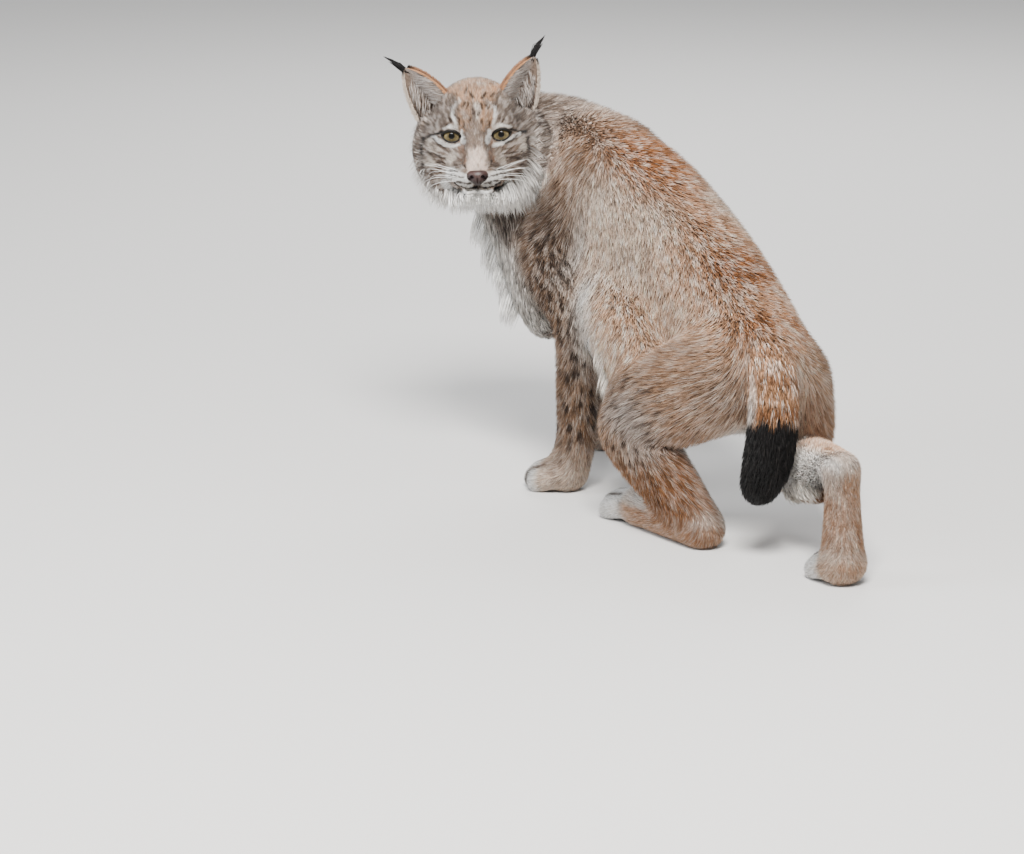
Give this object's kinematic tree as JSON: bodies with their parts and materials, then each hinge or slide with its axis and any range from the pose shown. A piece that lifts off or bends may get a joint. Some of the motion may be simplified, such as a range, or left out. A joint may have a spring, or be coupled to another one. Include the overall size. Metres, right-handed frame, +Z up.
{
  "type": "eurasian lynx",
  "caption": "Life-size still model of a eurasian lynx, crouched low behind, one hind leg stretched back, its head turned to look over its left shoulder.",
  "frame": {"origin": "on the floor, under the middle of the model's bounding box", "axes": "+X the way the body faces, +Y the animal's left, +Z up from the floor"},
  "size_m": [0.8274, 0.3526, 0.5909],
  "materials": {
    "coat_rufous": "short dense fur",
    "coat_grey": "spotted fur",
    "coat_pale": "long soft fur",
    "coat_black": "dark fur",
    "nose_skin": "damp bare skin",
    "eye": "wet and glossy"
  },
  "bodies": {
    "root": {"head": "coat_grey", "ear_left": "coat_grey", "ear_right": "coat_grey", "eye_left": "eye", "eye_right": "eye", "nose_pad": "nose_skin", "neck": "coat_grey", "torso": "coat_rufous", "foreleg_left": "coat_grey", "foreleg_right": "coat_grey", "forepaw_left": "coat_pale", "forepaw_right": "coat_pale", "thigh_left": "coat_rufous", "thigh_right": "coat_rufous", "shank_left": "coat_rufous", "shank_right": "coat_rufous", "hindpaw_left": "coat_pale", "hindpaw_right": "coat_pale", "tail": "coat_rufous", "tail_tip": "coat_black"}
  },
  "joints": []
}
